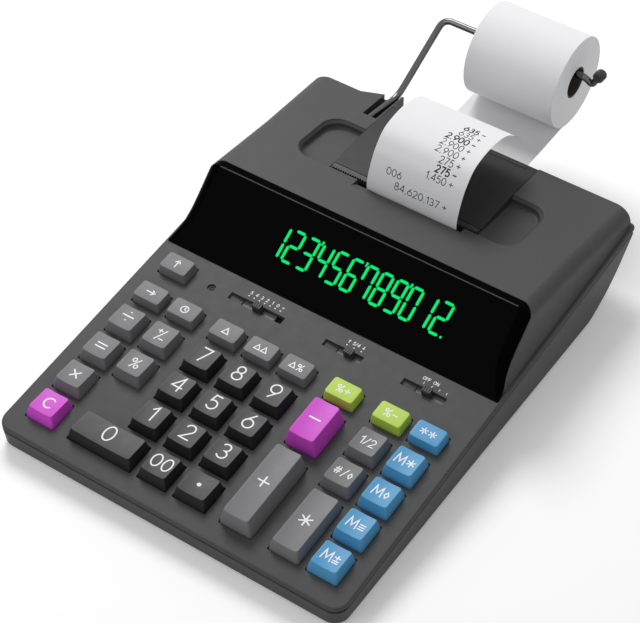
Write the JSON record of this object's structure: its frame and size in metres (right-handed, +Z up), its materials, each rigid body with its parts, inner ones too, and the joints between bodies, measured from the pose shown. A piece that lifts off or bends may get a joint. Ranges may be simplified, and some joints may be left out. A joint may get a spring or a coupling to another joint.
{
  "type": "printing calculator",
  "caption": "Desktop printing calculator with sprung keys, slide switches, a sloped display window, a thermal printer and a paper roll on a bent wire.",
  "frame": {"origin": "middle of the footprint box of the case and paper roll, on the desk", "axes": "+Z up, +Y from the front edge of the keyboard to the paper roll, +X to the right as the user sees it"},
  "size_m": [0.214, 0.3682, 0.101],
  "materials": {
    "upper_body": "fine grained satin",
    "lower_body": "fine grained satin",
    "window": "polished",
    "tube": "polished",
    "digit_key": "satin",
    "function_key": "satin",
    "large_key": "satin",
    "magenta_key": "satin",
    "green_key": "satin",
    "blue_key": "satin",
    "knob": "satin",
    "gear": "natural",
    "paper": "coated thermal paper",
    "chrome": "polished",
    "steel": "plain",
    "rubber": "matt",
    "mat": "matt",
    "board": "solder mask"
  },
  "bodies": {
    "case": {"upper_case": "upper_body", "lower_case": "lower_body", "display_window": "window", "display_tube": "tube", "printer_cover": "upper_body", "tear_bar": "steel", "paper_web": "paper", "roll_holder": "chrome", "holder_cap": "rubber", "keyboard_board": "board", "dome_mat": "mat", "printer_frame": "steel", "print_head": "steel", "drive_motor": "steel", "front_foot_strip": "rubber", "rear_foot_strip": "rubber"},
    "roll": {"paper_roll": "paper"},
    "platen": {"platen_roller": "rubber", "platen_gear": "gear"},
    "pinion": {"motor_pinion": "steel"},
    "decimal_switch": {"decimal_switch_knob": "knob"},
    "rounding_switch": {"rounding_switch_knob": "knob"},
    "mode_switch": {"mode_switch_knob": "knob"},
    "reset": {"reset_button": "knob"},
    "k_0": {"key_0": "digit_key"},
    "k_double_zero": {"key_double_zero": "digit_key"},
    "k_point": {"key_point": "digit_key"},
    "k_1": {"key_1": "digit_key"},
    "k_2": {"key_2": "digit_key"},
    "k_3": {"key_3": "digit_key"},
    "k_4": {"key_4": "digit_key"},
    "k_5": {"key_5": "digit_key"},
    "k_6": {"key_6": "digit_key"},
    "k_7": {"key_7": "digit_key"},
    "k_8": {"key_8": "digit_key"},
    "k_9": {"key_9": "digit_key"},
    "k_plus": {"key_plus": "large_key"},
    "k_total": {"key_total": "large_key"},
    "k_minus": {"key_minus": "magenta_key"},
    "k_clear": {"key_clear": "magenta_key"},
    "k_subtotal": {"key_subtotal": "function_key"},
    "k_item_average": {"key_item_average": "function_key"},
    "k_multiply": {"key_multiply": "function_key"},
    "k_equals": {"key_equals": "function_key"},
    "k_divide": {"key_divide": "function_key"},
    "k_percent": {"key_percent": "function_key"},
    "k_sign": {"key_sign": "function_key"},
    "k_shift": {"key_shift": "function_key"},
    "k_time": {"key_time": "function_key"},
    "k_feed": {"key_feed": "function_key"},
    "k_cost": {"key_cost": "function_key"},
    "k_sell": {"key_sell": "function_key"},
    "k_margin": {"key_margin": "function_key"},
    "k_tax_plus": {"key_tax_plus": "green_key"},
    "k_tax_minus": {"key_tax_minus": "green_key"},
    "k_grand_total": {"key_grand_total": "blue_key"},
    "k_memory_plus_minus": {"key_memory_plus_minus": "blue_key"},
    "k_memory_equals": {"key_memory_equals": "blue_key"},
    "k_memory_subtotal": {"key_memory_subtotal": "blue_key"},
    "k_memory_total": {"key_memory_total": "blue_key"}
  },
  "joints": [
    {"name": "roll_spin", "type": "hinge", "parent": "case", "child": "roll", "pos_m": [0.0085, 0.15656, 0.0735], "axis": [1, 0, 0], "continuous": true},
    {"name": "platen_spin", "type": "hinge", "parent": "case", "child": "platen", "pos_m": [0.007, 0.04116, 0.0397], "axis": [1, 0, 0], "continuous": true},
    {"name": "pinion_spin", "type": "hinge", "parent": "case", "child": "pinion", "pos_m": [-0.0291, 0.05007, 0.03079], "axis": [1, 0, 0], "continuous": true},
    {"name": "decimal_switch_slide", "type": "slide", "parent": "case", "child": "decimal_switch", "axis": [1, 0, 0], "range_m": [-0.0062, 0.0124]},
    {"name": "rounding_switch_slide", "type": "slide", "parent": "case", "child": "rounding_switch", "axis": [1, 0, 0], "range_m": [-0.0031, 0.0031]},
    {"name": "mode_switch_slide", "type": "slide", "parent": "case", "child": "mode_switch", "axis": [1, 0, 0], "range_m": [-0.0031, 0.0062]},
    {"name": "reset_press", "type": "slide", "parent": "case", "child": "reset", "axis": [0, 0.0932, -0.9956], "range_m": [0, 0.001], "stiffness_N_per_m": 60, "springref_m": -0.001},
    {"name": "key_0_press", "type": "slide", "parent": "case", "child": "k_0", "axis": [0, 0.0932, -0.9956], "range_m": [0, 0.003], "stiffness_N_per_m": 150, "springref_m": -0.002, "deforming": ["dome_mat"]},
    {"name": "key_double_zero_press", "type": "slide", "parent": "case", "child": "k_double_zero", "axis": [0, 0.0932, -0.9956], "range_m": [0, 0.003], "stiffness_N_per_m": 150, "springref_m": -0.002, "deforming": ["dome_mat"]},
    {"name": "key_point_press", "type": "slide", "parent": "case", "child": "k_point", "axis": [0, 0.0932, -0.9956], "range_m": [0, 0.003], "stiffness_N_per_m": 150, "springref_m": -0.002, "deforming": ["dome_mat"]},
    {"name": "key_1_press", "type": "slide", "parent": "case", "child": "k_1", "axis": [0, 0.0932, -0.9956], "range_m": [0, 0.003], "stiffness_N_per_m": 150, "springref_m": -0.002, "deforming": ["dome_mat"]},
    {"name": "key_2_press", "type": "slide", "parent": "case", "child": "k_2", "axis": [0, 0.0932, -0.9956], "range_m": [0, 0.003], "stiffness_N_per_m": 150, "springref_m": -0.002, "deforming": ["dome_mat"]},
    {"name": "key_3_press", "type": "slide", "parent": "case", "child": "k_3", "axis": [0, 0.0932, -0.9956], "range_m": [0, 0.003], "stiffness_N_per_m": 150, "springref_m": -0.002, "deforming": ["dome_mat"]},
    {"name": "key_4_press", "type": "slide", "parent": "case", "child": "k_4", "axis": [0, 0.0932, -0.9956], "range_m": [0, 0.003], "stiffness_N_per_m": 150, "springref_m": -0.002, "deforming": ["dome_mat"]},
    {"name": "key_5_press", "type": "slide", "parent": "case", "child": "k_5", "axis": [0, 0.0932, -0.9956], "range_m": [0, 0.003], "stiffness_N_per_m": 150, "springref_m": -0.002, "deforming": ["dome_mat"]},
    {"name": "key_6_press", "type": "slide", "parent": "case", "child": "k_6", "axis": [0, 0.0932, -0.9956], "range_m": [0, 0.003], "stiffness_N_per_m": 150, "springref_m": -0.002, "deforming": ["dome_mat"]},
    {"name": "key_7_press", "type": "slide", "parent": "case", "child": "k_7", "axis": [0, 0.0932, -0.9956], "range_m": [0, 0.003], "stiffness_N_per_m": 150, "springref_m": -0.002, "deforming": ["dome_mat"]},
    {"name": "key_8_press", "type": "slide", "parent": "case", "child": "k_8", "axis": [0, 0.0932, -0.9956], "range_m": [0, 0.003], "stiffness_N_per_m": 150, "springref_m": -0.002, "deforming": ["dome_mat"]},
    {"name": "key_9_press", "type": "slide", "parent": "case", "child": "k_9", "axis": [0, 0.0932, -0.9956], "range_m": [0, 0.003], "stiffness_N_per_m": 150, "springref_m": -0.002, "deforming": ["dome_mat"]},
    {"name": "key_plus_press", "type": "slide", "parent": "case", "child": "k_plus", "axis": [0, 0.0932, -0.9956], "range_m": [0, 0.003], "stiffness_N_per_m": 150, "springref_m": -0.002, "deforming": ["dome_mat"]},
    {"name": "key_total_press", "type": "slide", "parent": "case", "child": "k_total", "axis": [0, 0.0932, -0.9956], "range_m": [0, 0.003], "stiffness_N_per_m": 150, "springref_m": -0.002, "deforming": ["dome_mat"]},
    {"name": "key_minus_press", "type": "slide", "parent": "case", "child": "k_minus", "axis": [0, 0.0932, -0.9956], "range_m": [0, 0.003], "stiffness_N_per_m": 150, "springref_m": -0.002, "deforming": ["dome_mat"]},
    {"name": "key_clear_press", "type": "slide", "parent": "case", "child": "k_clear", "axis": [0, 0.0932, -0.9956], "range_m": [0, 0.003], "stiffness_N_per_m": 150, "springref_m": -0.002, "deforming": ["dome_mat"]},
    {"name": "key_subtotal_press", "type": "slide", "parent": "case", "child": "k_subtotal", "axis": [0, 0.0932, -0.9956], "range_m": [0, 0.003], "stiffness_N_per_m": 150, "springref_m": -0.002, "deforming": ["dome_mat"]},
    {"name": "key_item_average_press", "type": "slide", "parent": "case", "child": "k_item_average", "axis": [0, 0.0932, -0.9956], "range_m": [0, 0.003], "stiffness_N_per_m": 150, "springref_m": -0.002, "deforming": ["dome_mat"]},
    {"name": "key_multiply_press", "type": "slide", "parent": "case", "child": "k_multiply", "axis": [0, 0.0932, -0.9956], "range_m": [0, 0.003], "stiffness_N_per_m": 150, "springref_m": -0.002, "deforming": ["dome_mat"]},
    {"name": "key_equals_press", "type": "slide", "parent": "case", "child": "k_equals", "axis": [0, 0.0932, -0.9956], "range_m": [0, 0.003], "stiffness_N_per_m": 150, "springref_m": -0.002, "deforming": ["dome_mat"]},
    {"name": "key_divide_press", "type": "slide", "parent": "case", "child": "k_divide", "axis": [0, 0.0932, -0.9956], "range_m": [0, 0.003], "stiffness_N_per_m": 150, "springref_m": -0.002, "deforming": ["dome_mat"]},
    {"name": "key_percent_press", "type": "slide", "parent": "case", "child": "k_percent", "axis": [0, 0.0932, -0.9956], "range_m": [0, 0.003], "stiffness_N_per_m": 150, "springref_m": -0.002, "deforming": ["dome_mat"]},
    {"name": "key_sign_press", "type": "slide", "parent": "case", "child": "k_sign", "axis": [0, 0.0932, -0.9956], "range_m": [0, 0.003], "stiffness_N_per_m": 150, "springref_m": -0.002, "deforming": ["dome_mat"]},
    {"name": "key_shift_press", "type": "slide", "parent": "case", "child": "k_shift", "axis": [0, 0.0932, -0.9956], "range_m": [0, 0.003], "stiffness_N_per_m": 150, "springref_m": -0.002, "deforming": ["dome_mat"]},
    {"name": "key_time_press", "type": "slide", "parent": "case", "child": "k_time", "axis": [0, 0.0932, -0.9956], "range_m": [0, 0.003], "stiffness_N_per_m": 150, "springref_m": -0.002, "deforming": ["dome_mat"]},
    {"name": "key_feed_press", "type": "slide", "parent": "case", "child": "k_feed", "axis": [0, 0.0932, -0.9956], "range_m": [0, 0.003], "stiffness_N_per_m": 150, "springref_m": -0.002, "deforming": ["dome_mat"]},
    {"name": "key_cost_press", "type": "slide", "parent": "case", "child": "k_cost", "axis": [0, 0.0932, -0.9956], "range_m": [0, 0.003], "stiffness_N_per_m": 150, "springref_m": -0.002, "deforming": ["dome_mat"]},
    {"name": "key_sell_press", "type": "slide", "parent": "case", "child": "k_sell", "axis": [0, 0.0932, -0.9956], "range_m": [0, 0.003], "stiffness_N_per_m": 150, "springref_m": -0.002, "deforming": ["dome_mat"]},
    {"name": "key_margin_press", "type": "slide", "parent": "case", "child": "k_margin", "axis": [0, 0.0932, -0.9956], "range_m": [0, 0.003], "stiffness_N_per_m": 150, "springref_m": -0.002, "deforming": ["dome_mat"]},
    {"name": "key_tax_plus_press", "type": "slide", "parent": "case", "child": "k_tax_plus", "axis": [0, 0.0932, -0.9956], "range_m": [0, 0.003], "stiffness_N_per_m": 150, "springref_m": -0.002, "deforming": ["dome_mat"]},
    {"name": "key_tax_minus_press", "type": "slide", "parent": "case", "child": "k_tax_minus", "axis": [0, 0.0932, -0.9956], "range_m": [0, 0.003], "stiffness_N_per_m": 150, "springref_m": -0.002, "deforming": ["dome_mat"]},
    {"name": "key_grand_total_press", "type": "slide", "parent": "case", "child": "k_grand_total", "axis": [0, 0.0932, -0.9956], "range_m": [0, 0.003], "stiffness_N_per_m": 150, "springref_m": -0.002, "deforming": ["dome_mat"]},
    {"name": "key_memory_plus_minus_press", "type": "slide", "parent": "case", "child": "k_memory_plus_minus", "axis": [0, 0.0932, -0.9956], "range_m": [0, 0.003], "stiffness_N_per_m": 150, "springref_m": -0.002, "deforming": ["dome_mat"]},
    {"name": "key_memory_equals_press", "type": "slide", "parent": "case", "child": "k_memory_equals", "axis": [0, 0.0932, -0.9956], "range_m": [0, 0.003], "stiffness_N_per_m": 150, "springref_m": -0.002, "deforming": ["dome_mat"]},
    {"name": "key_memory_subtotal_press", "type": "slide", "parent": "case", "child": "k_memory_subtotal", "axis": [0, 0.0932, -0.9956], "range_m": [0, 0.003], "stiffness_N_per_m": 150, "springref_m": -0.002, "deforming": ["dome_mat"]},
    {"name": "key_memory_total_press", "type": "slide", "parent": "case", "child": "k_memory_total", "axis": [0, 0.0932, -0.9956], "range_m": [0, 0.003], "stiffness_N_per_m": 150, "springref_m": -0.002, "deforming": ["dome_mat"]}
  ],
  "couplings": [
    {"joint": "pinion_spin", "follows": "platen_spin", "ratio": -2.5}
  ]
}
